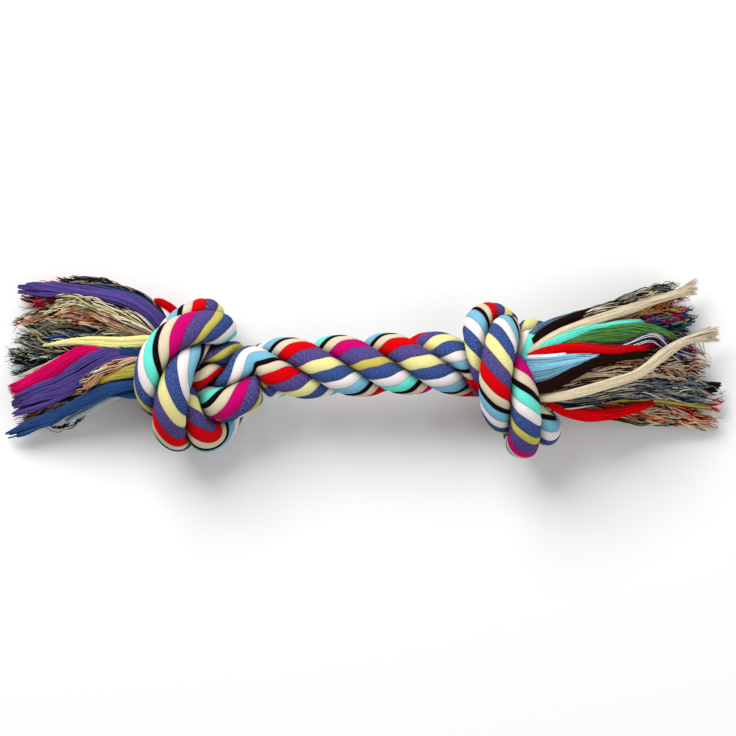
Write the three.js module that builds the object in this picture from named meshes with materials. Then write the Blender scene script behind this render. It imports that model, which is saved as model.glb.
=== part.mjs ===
// Rope dog toy: one piece of three-strand cotton rope, an overhand knot at each end,
// and the unlaid ends left as tassels.
// Millimetres, +X along the toy, +Z up, lying on z = 0.
import * as THREE from "three";

// Rope
const ROPE_DIAMETER = 32;
const STRAND_COUNT = 3;
const STRAND_GAP = 0.3;

// Lay: where the first strand lies on top, then distance from there and length of one turn, in rope diameters
const CROWN_X = 5.9;
const LAY_MARKS = [[-2.5, 3.7], [-1.9, 2.62], [0, 2.34], [1.1, 2.18], [1.75, 2.9]];

// Knots: where the middle of each one lies, and how hard the turns press together
const KNOT_SPACING = 163.8;
const TOY_SHIFT_X = -6.9;
const LEFT_KNOT_Y = -2.4;
const RIGHT_KNOT_Y = 0.8;
const LEFT_KNOT_Z = 34;
const RIGHT_KNOT_Z = 39.2;
const TURN_SPACING = ROPE_DIAMETER * 0.55;
const TURN_GAP = 0.7;

// Tassels
const LEFT_TASSEL_LENGTH = 65;
const RIGHT_TASSEL_LENGTH = 78;
const LEFT_TASSEL_TIP_Y = [-36, 55.4];
const RIGHT_TASSEL_TIP_Y = [-32, 54];
const TASSEL_TIP_THICKNESS = 9;
const TASSEL_DROOP = 0.8;
const BUNDLE_GAP = 0.4;
const JOIN_GAP = 0.3;

// Mesh steps
const ROUTE_STEP = ROPE_DIAMETER * 0.075;
const SECTION_STEP = ROPE_DIAMETER * 0.15;
const SECTION_ANGLES = [-168, -116, -88, -58, -29, 0, 29, 58, 88, 116, 168].map(THREE.MathUtils.degToRad);
const BUNDLE_STEPS = 9;

// Strand section in the rope's normal plane, as shares of the rope's radius
const ROPE_RADIUS = ROPE_DIAMETER / 2;
const STRAND_CENTRE = ROPE_RADIUS * 0.525;
const STRAND_HALF_DEPTH = ROPE_RADIUS * 0.475;
const STRAND_HALF_WIDTH = ROPE_RADIUS * 0.57;
const WEDGE_ANGLE = Math.PI / STRAND_COUNT;

// Routes through the knots, in rope diameters from each knot's middle, from left to right
const LEFT_ROUTE = [
  [-0.98, 0.10, -0.10], [-0.80, 0.10, -0.10], [-0.30, 0.03, -0.10], [0.00, 0.06, 0.00],
  [0.30, 0.14, -0.06], [0.52, 0.00, -0.38], [0.46, -0.36, -0.64], [0.26, -0.72, -0.60],
  [0.02, -0.92, -0.28], [-0.18, -0.74, 0.12], [-0.36, -0.40, 0.50], [-0.40, 0.06, 0.68],
  [-0.22, 0.46, 0.58], [0.10, 0.62, 0.30], [0.34, 0.52, -0.10], [0.24, 0.20, -0.44],
  [0.26, -0.22, -0.16], [0.85, 0.04, 0.10],
];
const RIGHT_ROUTE = [
  [-0.85, 0.08, 0.16], [-0.20, -0.08, -0.16], [0.04, 0.14, -0.10], [0.22, 0.24, -0.36],
  [0.32, 0.02, -0.68], [0.38, -0.40, -0.80], [0.38, -0.86, -0.62], [0.32, -1.08, -0.22],
  [0.14, -0.80, 0.18], [-0.08, -0.40, 0.48], [-0.27, 0.06, 0.46], [-0.30, 0.40, 0.10],
  [-0.20, 0.45, -0.36], [0.02, 0.20, -0.70], [0.24, -0.16, -0.58], [0.48, -0.18, -0.12],
  [0.80, 0.02, 0.05], [1.00, 0.02, 0.05],
];
const MIDDLE_POINTS = 2;

const leftKnot = new THREE.Vector3(TOY_SHIFT_X - KNOT_SPACING / 2, LEFT_KNOT_Y, LEFT_KNOT_Z);
const rightKnot = new THREE.Vector3(TOY_SHIFT_X + KNOT_SPACING / 2, RIGHT_KNOT_Y, RIGHT_KNOT_Z);

function placeRoute(route, knot) {
  return route.map(([x, y, z]) => new THREE.Vector3(x, y, z).multiplyScalar(ROPE_DIAMETER).add(knot));
}

function controlPoints() {
  const left = placeRoute(LEFT_ROUTE, leftKnot);
  const right = placeRoute(RIGHT_ROUTE, rightKnot);
  const middle = [];
  for (let i = 1; i <= MIDDLE_POINTS; i++) {
    middle.push(new THREE.Vector3().lerpVectors(left.at(-1), right[0], i / (MIDDLE_POINTS + 1)));
  }
  return [...left, ...middle, ...right];
}

// Uniform cubic B-spline that starts and ends on its first and last control points
function splinePoints(control, perSpan) {
  const first = control[0].clone().multiplyScalar(2).sub(control[1]);
  const last = control.at(-1).clone().multiplyScalar(2).sub(control.at(-2));
  const c = [first, ...control, last];
  const points = [];
  for (let i = 0; i + 3 < c.length; i++) {
    for (let k = 0; k < perSpan; k++) {
      const t = k / perSpan;
      const weights = [
        (1 - t) ** 3,
        3 * t ** 3 - 6 * t ** 2 + 4,
        -3 * t ** 3 + 3 * t ** 2 + 3 * t + 1,
        t ** 3,
      ];
      const p = new THREE.Vector3();
      weights.forEach((w, n) => p.addScaledVector(c[i + n], w / 6));
      points.push(p);
    }
  }
  points.push(control.at(-1).clone());
  return points;
}

function evenPoints(points, step) {
  const along = [0];
  for (let i = 1; i < points.length; i++) {
    along.push(along[i - 1] + points[i].distanceTo(points[i - 1]));
  }
  const count = Math.round(along.at(-1) / step);
  const even = [];
  let i = 0;
  for (let k = 0; k <= count; k++) {
    const s = (along.at(-1) * k) / count;
    while (i < points.length - 2 && along[i + 1] < s) i++;
    const share = (s - along[i]) / (along[i + 1] - along[i]);
    even.push(new THREE.Vector3().lerpVectors(points[i], points[i + 1], share));
  }
  return even;
}

// Draws the knots tight: turns that lie too close push apart while kinks smooth out
const SETTLE_ROUNDS = 160;
const SETTLE_PUSH = 0.1;
const SETTLE_SMOOTH = 0.05;
const SETTLE_HELD = 4;
const OWN_LENGTH = ROPE_DIAMETER * 0.94;
function settle(points) {
  const n = points.length;
  const apart = Math.round(OWN_LENGTH / ROUTE_STEP);
  const between = new THREE.Vector3();
  for (let round = 0; round < SETTLE_ROUNDS; round++) {
    const move = points.map(() => new THREE.Vector3());
    for (let i = 0; i < n; i++) {
      for (let j = i + apart; j < n; j++) {
        between.subVectors(points[j], points[i]);
        const distance = between.length();
        if (distance < TURN_SPACING) {
          between.multiplyScalar((SETTLE_PUSH * (TURN_SPACING - distance)) / distance);
          move[i].sub(between);
          move[j].add(between);
        }
      }
    }
    const old = points.map((p, i) => p.clone().add(move[i]));
    for (let i = SETTLE_HELD; i < n - SETTLE_HELD; i++) {
      const bend = new THREE.Vector3();
      [1, -4, 6, -4, 1].forEach((w, k) => bend.addScaledVector(old[i + k - 2], w));
      points[i].copy(old[i]).addScaledVector(bend, -SETTLE_SMOOTH);
    }
  }
  return points;
}

const route = evenPoints(splinePoints(settle(evenPoints(splinePoints(controlPoints(), 24), ROUTE_STEP)), 6), ROUTE_STEP);
const tangents = route.map((p, i) => {
  if (i === 0 || i === route.length - 1) return new THREE.Vector3(1, 0, 0);
  return new THREE.Vector3().subVectors(route[i + 1], route[i - 1]).normalize();
});

// The nearest point of the straight rope to a given X
function indexAt(x) {
  return route.reduce((best, p, i) => {
    const straight = Math.abs(tangents[i].x) > 0.9;
    return straight && Math.abs(p.x - x) < Math.abs(route[best].x - x) ? i : best;
  }, 0);
}
const middleIndex = indexAt(TOY_SHIFT_X);
const crownIndex = indexAt(CROWN_X);

function layRate(distance) {
  const d = THREE.MathUtils.clamp(distance / ROPE_DIAMETER, LAY_MARKS[0][0], LAY_MARKS.at(-1)[0]);
  const k = Math.max(LAY_MARKS.findIndex(([at]) => at >= d), 1);
  const [from, to] = [LAY_MARKS[k - 1], LAY_MARKS[k]];
  const turn = THREE.MathUtils.mapLinear(d, from[0], to[0], from[1], to[1]);
  return (2 * Math.PI) / (ROPE_DIAMETER * turn);
}

// The lay is counted from the crown, both ways
const normals = [];
const phases = [];
normals[crownIndex] = new THREE.Vector3(0, 0, 1).projectOnPlane(tangents[crownIndex]).normalize();
phases[crownIndex] = 0;
for (const way of [1, -1]) {
  for (let i = crownIndex + way; i >= 0 && i < route.length; i += way) {
    const turn = new THREE.Quaternion().setFromUnitVectors(tangents[i - way], tangents[i]);
    normals[i] = normals[i - way].clone().applyQuaternion(turn).projectOnPlane(tangents[i]).normalize();
    const length = route[i].distanceTo(route[i - way]);
    phases[i] = phases[i - way] + way * length * layRate((i - way / 2 - crownIndex) * ROUTE_STEP);
  }
}

// Place, direction and lay at a distance along the route
function station(s) {
  const i = THREE.MathUtils.clamp(Math.floor(s), 0, route.length - 2);
  const share = s - i;
  const tangent = new THREE.Vector3().lerpVectors(tangents[i], tangents[i + 1], share).normalize();
  const normal = new THREE.Vector3().lerpVectors(normals[i], normals[i + 1], share);
  normal.projectOnPlane(tangent).normalize();
  return {
    s,
    point: new THREE.Vector3().lerpVectors(route[i], route[i + 1], share),
    normal,
    binormal: new THREE.Vector3().crossVectors(tangent, normal),
    phase: THREE.MathUtils.lerp(phases[i], phases[i + 1], share),
  };
}

// Distance from the strand's centre to its skin: an oval pressed flat against its neighbours
function strandReach(angle) {
  const c = Math.cos(angle);
  const d = Math.sin(angle);
  let reach = 1 / Math.hypot(c / STRAND_HALF_DEPTH, d / STRAND_HALF_WIDTH);
  const toFace = Math.sin(WEDGE_ANGLE) * STRAND_CENTRE - STRAND_GAP / 2;
  for (const side of [1, -1]) {
    const speed = -Math.sin(WEDGE_ANGLE) * c + side * Math.cos(WEDGE_ANGLE) * d;
    if (speed > 1e-6) reach = Math.min(reach, toFace / speed);
  }
  return reach;
}

// Pulls a skin point towards the rope's axis until it lies clear of every other turn
const BEND_SHARE = 0.85;
function pressed(offset, at) {
  let keep = 1;
  const away = new THREE.Vector3();
  for (let j = 0; j < route.length; j++) {
    away.subVectors(route[j], at.point);
    const along = Math.abs(j - at.s) * ROUTE_STEP;
    const lean = away.dot(offset);
    if (along < ROUTE_STEP || lean <= 0) continue;
    const half = away.lengthSq() / 2;
    const room = along < OWN_LENGTH ? half * BEND_SHARE : half - (TURN_GAP / 2) * away.length();
    keep = Math.min(keep, room / lean);
  }
  return keep;
}

function strandSection(at, strand) {
  const turn = at.phase + (strand * 2 * Math.PI) / STRAND_COUNT;
  const out = at.normal.clone().multiplyScalar(Math.cos(turn)).addScaledVector(at.binormal, Math.sin(turn));
  const round = at.normal.clone().multiplyScalar(-Math.sin(turn)).addScaledVector(at.binormal, Math.cos(turn));
  return SECTION_ANGLES.map((angle) => {
    const reach = strandReach(angle);
    const offset = out.clone().multiplyScalar(STRAND_CENTRE + reach * Math.cos(angle));
    offset.addScaledVector(round, reach * Math.sin(angle));
    offset.multiplyScalar(pressed(offset, at));
    const p = at.point.clone().add(offset);
    p.z = Math.max(p.z, 0);
    return p;
  });
}

// Closed solid through a row of rings of equal count; the quads left of the seam split the other way
function loft(rings) {
  const count = rings[0].length;
  const positions = rings.flat().flatMap((p) => [p.x, p.y, p.z]);
  const index = [];
  for (let i = 0; i + 1 < rings.length; i++) {
    for (let j = 0; j < count; j++) {
      const a = i * count + j;
      const b = i * count + ((j + 1) % count);
      const c = b + count;
      const d = a + count;
      if (j < count / 2 - 1) index.push(a, b, d, b, c, d);
      else index.push(a, b, c, a, c, d);
    }
  }
  for (const [ring, flip] of [[0, true], [rings.length - 1, false]]) {
    const centre = rings[ring].reduce((sum, p) => sum.add(p), new THREE.Vector3()).divideScalar(count);
    const hub = positions.length / 3;
    positions.push(centre.x, centre.y, centre.z);
    for (let j = 0; j < count; j++) {
      const a = ring * count + j;
      const b = ring * count + ((j + 1) % count);
      index.push(hub, ...(flip ? [b, a] : [a, b]));
    }
  }
  const geometry = new THREE.BufferGeometry();
  geometry.setAttribute("position", new THREE.Float32BufferAttribute(positions, 3));
  geometry.setIndex(index);
  geometry.computeVertexNormals();
  return geometry;
}

const toy = new THREE.Group();
toy.name = "rope_dog_toy";

function addSolid(name, geometry, color) {
  const material = new THREE.MeshStandardMaterial({ color, roughness: 0.95, metalness: 0 });
  const mesh = new THREE.Mesh(geometry, material);
  mesh.name = name;
  toy.add(mesh);
}

// Strands: each runs the whole rope and is parted at the middle, where the toy folds
const STRANDS = [["magenta_strand", 0xc02a78], ["red_strand", 0xc03a38], ["scarlet_strand", 0x5c4d96]];
function strandHalf(from, to, strand) {
  const count = Math.round(((to - from) * ROUTE_STEP) / SECTION_STEP);
  const rings = [];
  for (let k = 0; k <= count; k++) {
    rings.push(strandSection(station(from + ((to - from) * k) / count), strand));
  }
  return loft(rings);
}
const halfGap = JOIN_GAP / 2 / ROUTE_STEP;
STRANDS.forEach(([name, color], strand) => {
  addSolid(`${name}_left`, strandHalf(0, middleIndex - halfGap, strand), color);
  addSolid(`${name}_right`, strandHalf(middleIndex + halfGap, route.length - 1, strand), color);
});

// Tassels: bundles of loose ends in two layers, listed across the fan from +Y to -Y;
// the number is how far the bundle falls short of the longest one
const LEFT_BUNDLES = {
  upper: [
    ["navy_yarns", 0x23253a, 10], ["purple_sliver", 0x5b4a96, 3], ["peach_core", 0xc9a98a, 8],
    ["yellow_sliver", 0xe6dd92, 18], ["magenta_sliver", 0xd0127a, 2], ["plum_sliver", 0x574690, 0],
  ],
  lower: [
    ["black_core", 0x26211f, 20], ["rust_core", 0x9a5a40, 12], ["grey_core", 0x7d7f74, 6],
    ["teal_core", 0x3d5a60, 2], ["mustard_sliver", 0xc6b94f, 22], ["blue_sliver", 0x3b5390, 1],
  ],
};
const RIGHT_BUNDLES = {
  upper: [
    ["brown_sliver", 0x2c1a1a, 30], ["cream_sliver", 0xddcfb0, 12], ["green_sliver", 0x3f9a6a, 26],
    ["red_sliver", 0xd81c22, 34], ["sky_sliver", 0x79b4dc, 40], ["ivory_sliver", 0xe2d7b8, 1],
  ],
  lower: [
    ["grey_core", 0x77746e, 18], ["orange_core", 0xb9784a, 14], ["plum_core", 0x5c4a68, 6],
    ["umber_core", 0x6e5038, 8], ["navy_core", 0x2d3350, 0], ["scarlet_sliver", 0xd4202a, 4],
  ],
};

// Boxes that the bundles fill never meet: columns share Y between them, layers share Z
function tassel(prefix, bundles, way, exit, length, tipY) {
  const rows = { upper: 1, lower: 0 };
  for (const [layer, list] of Object.entries(bundles)) {
    list.forEach(([name, color, short], column) => {
      const edges = (t, edge) => {
        const share = 1 - edge / list.length;
        const root = exit.y + THREE.MathUtils.lerp(-1, 1, share) * ROPE_RADIUS;
        return THREE.MathUtils.lerp(root, THREE.MathUtils.lerp(...tipY, share), t);
      };
      const rings = [];
      const reach = length - short;
      for (let k = 0; k <= BUNDLE_STEPS; k++) {
        const d = JOIN_GAP + ((reach - JOIN_GAP) * k) / BUNDLE_STEPS;
        const t = d / length;
        const fall = THREE.MathUtils.smoothstep(t, 0, TASSEL_DROOP);
        const high = edges(t, column) - BUNDLE_GAP / 2;
        const low = edges(t, column + 1) + BUNDLE_GAP / 2;
        const rootY = (edges(0, column) + edges(0, column + 1)) / 2 - exit.y;
        const rise = Math.sqrt(ROPE_RADIUS ** 2 - rootY ** 2);
        const rootZ = [exit.z - rise, exit.z, exit.z + rise];
        const z = rootZ.map((value, n) => THREE.MathUtils.lerp(value, n * TASSEL_TIP_THICKNESS, fall));
        const bottom = z[rows[layer]] + (rows[layer] * BUNDLE_GAP) / 2;
        const top = z[rows[layer] + 1] - ((1 - rows[layer]) * BUNDLE_GAP) / 2;
        const tip = k === BUNDLE_STEPS ? 0.5 : 1;
        rings.push(bundleSection(exit.x + way * d, low, high, bottom, top, tip, way));
      }
      addSolid(`${prefix}_${name}`, loft(rings), color);
    });
  }
}

// Eight-sided section that touches the four sides of its box; the tip keeps its underside
function bundleSection(x, low, high, bottom, top, tip, way) {
  const y = (low + high) / 2;
  const halfY = ((high - low) / 2) * tip;
  const halfZ = ((top - bottom) / 2) * tip;
  const z = bottom + halfZ;
  const ring = [];
  for (let k = 0; k < 8; k++) {
    const a = ((k + 0.5) * Math.PI) / 4;
    const scale = 1 / Math.cos(Math.PI / 8);
    ring.push(new THREE.Vector3(x, y + way * halfY * scale * Math.cos(a), z + halfZ * scale * Math.sin(a)));
  }
  return ring;
}

tassel("left_tassel", LEFT_BUNDLES, -1, route[0], LEFT_TASSEL_LENGTH, LEFT_TASSEL_TIP_Y);
tassel("right_tassel", RIGHT_BUNDLES, 1, route.at(-1), RIGHT_TASSEL_LENGTH, RIGHT_TASSEL_TIP_Y);

export default toy;
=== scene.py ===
"""Rope dog toy: striped three-strand cotton rope, two overhand knots and frayed tassels."""
import math
from collections import namedtuple

import bpy
import numpy as np
from bpy.props import EnumProperty, FloatProperty, FloatVectorProperty, IntProperty, PointerProperty
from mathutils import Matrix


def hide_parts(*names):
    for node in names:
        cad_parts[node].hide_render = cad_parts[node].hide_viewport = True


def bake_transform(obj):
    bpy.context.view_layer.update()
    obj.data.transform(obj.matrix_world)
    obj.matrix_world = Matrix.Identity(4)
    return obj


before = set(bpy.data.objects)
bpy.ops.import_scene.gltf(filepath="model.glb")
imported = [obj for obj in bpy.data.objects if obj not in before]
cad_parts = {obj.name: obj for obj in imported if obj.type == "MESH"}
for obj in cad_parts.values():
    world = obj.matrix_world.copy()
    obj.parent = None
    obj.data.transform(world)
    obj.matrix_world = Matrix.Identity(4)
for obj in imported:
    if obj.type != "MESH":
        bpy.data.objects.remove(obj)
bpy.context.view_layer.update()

bl_info = {
    "name": "Rope Dog Toy",
    "version": (1, 0, 0),
    "blender": (4, 5, 0),
    "location": "View3D > Sidebar > Rope Toy",
    "description": "Builds a knotted rope dog toy from striped cotton strands and loose yarns",
    "category": "Add Mesh",
}

MM = 0.001
UP = np.array([0, 0, 1.0])

# Rope, with the same sizes as the solids
ROPE_DIAMETER = 32 * MM
ROPE_RADIUS = ROPE_DIAMETER / 2
STRAND_COUNT = 3
# The crown is where the first strand lies on top of the rope
CROWN_X = 5.9 * MM
# Lay: distance from the crown and length of one turn there, both in rope diameters
LAY_MARKS = [(-2.5, 3.7), (-1.9, 2.62), (0, 2.34), (1.1, 2.18), (1.75, 2.9)]
# Section of a strand: its centre from the rope's axis, its half depth and half width
STRAND_CENTRE = ROPE_RADIUS * 0.525
STRAND_HALF_DEPTH = ROPE_RADIUS * 0.475
STRAND_HALF_WIDTH = ROPE_RADIUS * 0.57
STRAND_DIAMETER = STRAND_HALF_DEPTH + STRAND_HALF_WIDTH
# Half of a strand's share of the way round the rope
WEDGE_ANGLE = math.pi / STRAND_COUNT
STRAND_GAP = 0.15 * MM
TURN_GAP = 0.2 * MM

# Knots: their middles, how near their turns lie, and the rope's routes about the middles in rope diameters
KNOT_SPACING = 163.8 * MM
TOY_SHIFT_X = -6.9 * MM
LEFT_KNOT = np.array([TOY_SHIFT_X - KNOT_SPACING / 2, -2.4 * MM, 34 * MM])
RIGHT_KNOT = np.array([TOY_SHIFT_X + KNOT_SPACING / 2, 0.8 * MM, 39.2 * MM])
TURN_SPACING = ROPE_DIAMETER * 0.55
LEFT_ROUTE = [
    (-0.98, 0.10, -0.10), (-0.80, 0.10, -0.10), (-0.30, 0.03, -0.10), (0.00, 0.06, 0.00),
    (0.30, 0.14, -0.06), (0.52, 0.00, -0.38), (0.46, -0.36, -0.64), (0.26, -0.72, -0.60),
    (0.02, -0.92, -0.28), (-0.18, -0.74, 0.12), (-0.36, -0.40, 0.50), (-0.40, 0.06, 0.68),
    (-0.22, 0.46, 0.58), (0.10, 0.62, 0.30), (0.34, 0.52, -0.10), (0.24, 0.20, -0.44),
    (0.26, -0.22, -0.16), (0.85, 0.04, 0.10),
]
RIGHT_ROUTE = [
    (-0.85, 0.08, 0.16), (-0.20, -0.08, -0.16), (0.04, 0.14, -0.10), (0.22, 0.24, -0.36),
    (0.32, 0.02, -0.68), (0.38, -0.40, -0.80), (0.38, -0.86, -0.62), (0.32, -1.08, -0.22),
    (0.14, -0.80, 0.18), (-0.08, -0.40, 0.48), (-0.27, 0.06, 0.46), (-0.30, 0.40, 0.10),
    (-0.20, 0.45, -0.36), (0.02, 0.20, -0.70), (0.24, -0.16, -0.58), (0.48, -0.18, -0.12),
    (0.80, 0.02, 0.05), (1.00, 0.02, 0.05),
]
# Route points between the knots
MIDDLE_POINTS = 2
ROUTE_STEP = ROPE_DIAMETER * 0.075
FINE_STEP = ROUTE_STEP / 2

# Stripes: distance from the crown in rope diameters, and length of one turn of a sliver there
STRIPE_MARKS = [(-2.5, 48 * MM), (-1.9, 38.7 * MM), (1.1, 38.7 * MM), (1.75, 38 * MM)]
# Slivers in order round a strand, as colour and share of the way round
MAGENTA_SLIVERS = [
    ("magenta", 0.15), ("purple", 0.17), ("mustard", 0.095), ("blue", 0.15),
    ("white", 0.12), ("turquoise", 0.125), ("black", 0.07), ("cream", 0.12),
]
RED_SLIVERS = [
    ("red", 0.147), ("purple", 0.156), ("yellow", 0.139), ("blue", 0.147),
    ("white", 0.119), ("sky", 0.128), ("black", 0.06), ("cream", 0.104),
]
# Strands: name, slivers, stripe turns passed at the crown, and turns that tying the knots has added
# at these distances from the crown in rope diameters
STRANDS = [
    ("magenta_strand", MAGENTA_SLIVERS, 0.39, [(-5, 0.06), (-2, 0), (1.5, 0), (4.5, -0.17)]),
    ("red_strand", RED_SLIVERS, 0.20, [(-5, 0.24), (-2, 0), (1.5, 0), (4.5, -0.35)]),
    ("scarlet_strand", RED_SLIVERS, 0.60, [(-6.3, 0), (-4.4, 0.3), (-2.4, 0), (1.5, 0), (4.5, -0.52)]),
]


def linear(colour):
    """Red, green and blue of an sRGB hex colour as linear light."""
    channels = [int(colour[i:i + 2], 16) / 255 for i in (0, 2, 4)]
    return tuple(c / 12.92 if c <= 0.04045 else ((c + 0.055) / 1.055) ** 2.4 for c in channels)


def colour_property(name, colour):
    """Property of one cotton colour."""
    return FloatVectorProperty(
        name=name, description=f"Cotton colour: {name.lower()}", subtype="COLOR",
        size=3, min=0, max=1, default=linear(colour))


def side_property():
    """Property that picks the left or the right tassel."""
    return EnumProperty(
        name="Side", description="Which end of the toy", default="left",
        items=[("left", "Left", ""), ("right", "Right", "")])


class RopeToyColours(bpy.types.PropertyGroup):
    """Colours of the cotton."""
    magenta: colour_property("Magenta", "c6066c")
    red: colour_property("Red", "d4040f")
    purple: colour_property("Purple", "3c2e7c")
    mustard: colour_property("Mustard", "c8bc58")
    yellow: colour_property("Pale yellow", "ebe39a")
    blue: colour_property("Blue", "173e84")
    white: colour_property("White", "efe8e6")
    turquoise: colour_property("Turquoise", "6ae8d4")
    sky: colour_property("Light blue", "7cb8d2")
    black: colour_property("Black", "140c0e")
    cream: colour_property("Cream", "dccdb0")
    brown: colour_property("Dark brown", "22110f")
    navy: colour_property("Navy", "181c34")
    grey: colour_property("Grey", "7a7c78")
    steel: colour_property("Steel blue", "5c7484")
    peach: colour_property("Peach", "d8ac88")
    rust: colour_property("Rust", "a85838")
    olive: colour_property("Olive", "7c8058")
    teal: colour_property("Teal", "2c6a70")
    green: colour_property("Green", "5c963c")
    orange: colour_property("Orange", "d08a4c")
    # Lighter copies of magenta, purple, blue and light blue for the loose slivers and yarns: painted light
    # that stands in for light scattering between their loose fibres
    pink: colour_property("Magenta of the loose slivers", "dc0664")
    scarlet: colour_property("Red of the loose slivers", "d8040f")
    lavender: colour_property("Purple of the loose yarns", "54448a")
    denim: colour_property("Blue of the loose yarns", "2c4c80")
    powder: colour_property("Light blue of the loose slivers", "92cce6")


class RopeToySizes(bpy.types.PropertyGroup):
    """Sizes of the yarns and the view, and the strength of the light."""
    sliver_height: FloatProperty(
        name="Sliver height", description="How far a sliver stands above the groove beside it",
        default=0.5 * MM, min=0, unit="LENGTH")
    carded_diameter: FloatProperty(
        name="Carded fibre", description="Thickness of one bunch of fibres in a carded sliver",
        default=0.42 * MM, min=0.1 * MM, unit="LENGTH")
    plied_diameter: FloatProperty(
        name="Plied yarn", description="Thickness of one yarn in a sliver of plied yarns",
        default=0.95 * MM, min=0.1 * MM, unit="LENGTH")
    loose_diameter: FloatProperty(
        name="Loose yarn", description="Thickness of one loose yarn of the core",
        default=0.55 * MM, min=0.1 * MM, unit="LENGTH")
    thread_diameter: FloatProperty(
        name="Thread diameter", description="Thickness of one stray thread",
        default=0.36 * MM, min=0.1 * MM, unit="LENGTH")
    stray_threads: IntProperty(
        name="Stray threads", description="Single threads that stand out of each tassel",
        default=34, min=0)
    lens: FloatProperty(
        name="Lens", description="Focal length of the camera", default=200, min=1, unit="CAMERA")
    view_width: FloatProperty(
        name="View width", description="Width of the picture at the rope's height",
        default=376.7 * MM, min=1 * MM, unit="LENGTH")
    light: FloatProperty(
        name="Light", description="Strength of the studio light", default=0.92, min=0)


# Shapes

def spline(control, per_span):
    """Uniform cubic B-spline that starts and ends on its first and last control points."""
    control = np.asarray(control, float)
    ends = 2 * control[[0, -1]] - control[[1, -2]]
    padded = np.vstack([ends[:1], control, ends[1:]])
    t = np.arange(per_span)[:, None] / per_span
    weights = [(1 - t) ** 3, 3 * t ** 3 - 6 * t ** 2 + 4, -3 * t ** 3 + 3 * t ** 2 + 3 * t + 1, t ** 3]
    spans = [
        sum(weight * padded[i + n] for n, weight in enumerate(weights)) / 6
        for i in range(len(padded) - 3)]
    return np.vstack(spans + [control[-1:]])


def along(points):
    """Distance of each point from the first, along the line."""
    return np.concatenate([[0], np.cumsum(np.linalg.norm(np.diff(points, axis=0), axis=1))])


def resample(points, at):
    """Points at these distances along a line."""
    distance = along(points)
    return np.stack([np.interp(at, distance, axis) for axis in points.T], axis=1)


def even(points, step):
    """The same line with points about one step apart."""
    length = along(points)[-1]
    return resample(points, np.linspace(0, length, round(length / step) + 1))


# Drawing tight: rounds, shares of push and smoothing in each, and points held at both ends
SETTLE_ROUNDS = 160
SETTLE_PUSH = 0.1
SETTLE_SMOOTH = 0.05
SETTLE_HELD = 4
# Rope nearer than this along its length is the same turn
OWN_LENGTH = ROPE_DIAMETER * 0.94
NEAR_ZERO = 1e-9


def settle(points):
    """Draws the knots tight: turns that lie too close push apart while kinks smooth out."""
    apart = round(OWN_LENGTH / ROUTE_STEP)
    other = np.triu(np.ones((len(points), len(points)), bool), apart)
    held = slice(SETTLE_HELD, -SETTLE_HELD)
    for _ in range(SETTLE_ROUNDS):
        between = points[None] - points[:, None]
        distance = np.linalg.norm(between, axis=2)
        close = other & (distance < TURN_SPACING)
        share = SETTLE_PUSH * (TURN_SPACING - distance) / np.maximum(distance, NEAR_ZERO)
        push = between * np.where(close, share, 0)[..., None]
        moved = points - push.sum(axis=1) + push.sum(axis=0)
        bend = moved[4:] - 4 * moved[3:-1] + 6 * moved[2:-2] - 4 * moved[1:-3] + moved[:-4]
        points[held] = moved[held] - SETTLE_SMOOTH * bend[SETTLE_HELD - 2:len(bend) - SETTLE_HELD + 2]
    return points


def unit(vectors):
    """Vectors of length one."""
    return vectors / np.linalg.norm(vectors, axis=-1, keepdims=True)


def carry(normal, tangent, following):
    """A normal carried from one tangent to the next without twist."""
    axis = np.cross(tangent, following)
    swept = np.cross(axis, normal)
    turned = normal + swept + np.cross(axis, swept) / (1 + tangent @ following)
    return unit(turned - following * (turned @ following))


def running(rate, distance, start):
    """Integral of a rate along a line, zero at the start point."""
    steps = (rate[1:] + rate[:-1]) / 2 * np.diff(distance)
    total = np.concatenate([[0], np.cumsum(steps)])
    return total - total[start]


Rope = namedtuple("Rope", "points normals binormals phases crown distance")
# Curve points for each span of the route, before and after it is drawn tight
ROUTE_SPAN = 24
FINE_SPAN = 6
# The crown lies where the rope runs along the toy at least this straight
CROWN_STRAIGHT = 0.9


def make_rope():
    """The rope's axis through both knots, with the turn of its strands at every point."""
    left = LEFT_KNOT + ROPE_DIAMETER * np.array(LEFT_ROUTE)
    right = RIGHT_KNOT + ROPE_DIAMETER * np.array(RIGHT_ROUTE)
    shares = np.linspace(0, 1, MIDDLE_POINTS + 2)[1:-1, None]
    control = np.vstack([left, left[-1] + (right[0] - left[-1]) * shares, right])
    settled = settle(even(spline(control, ROUTE_SPAN), ROUTE_STEP))
    points = even(spline(settled, FINE_SPAN), FINE_STEP)
    tangents = unit(np.gradient(points, axis=0))
    tangents[[0, -1]] = (1, 0, 0)
    crown = np.argmin(np.abs(points[:, 0] - CROWN_X) + (tangents[:, 0] < CROWN_STRAIGHT))
    normals = np.zeros_like(points)
    normals[crown] = unit(UP - tangents[crown] * (UP @ tangents[crown]))
    for way in (1, -1):
        for i in range(crown + way, len(points) if way > 0 else -1, way):
            normals[i] = carry(normals[i - way], tangents[i - way], tangents[i])
    distance = along(points)
    distance = distance - distance[crown]
    marks = np.array(LAY_MARKS) * ROPE_DIAMETER
    turn = np.interp(distance, marks[:, 0], marks[:, 1])
    phases = running(2 * math.pi / turn, distance, crown)
    return Rope(points, normals, np.cross(tangents, normals), phases, crown, distance)


# Less than this a ray from the strand's centre doesn't lean towards the face
LEAST_LEAN = 1e-6


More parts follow.
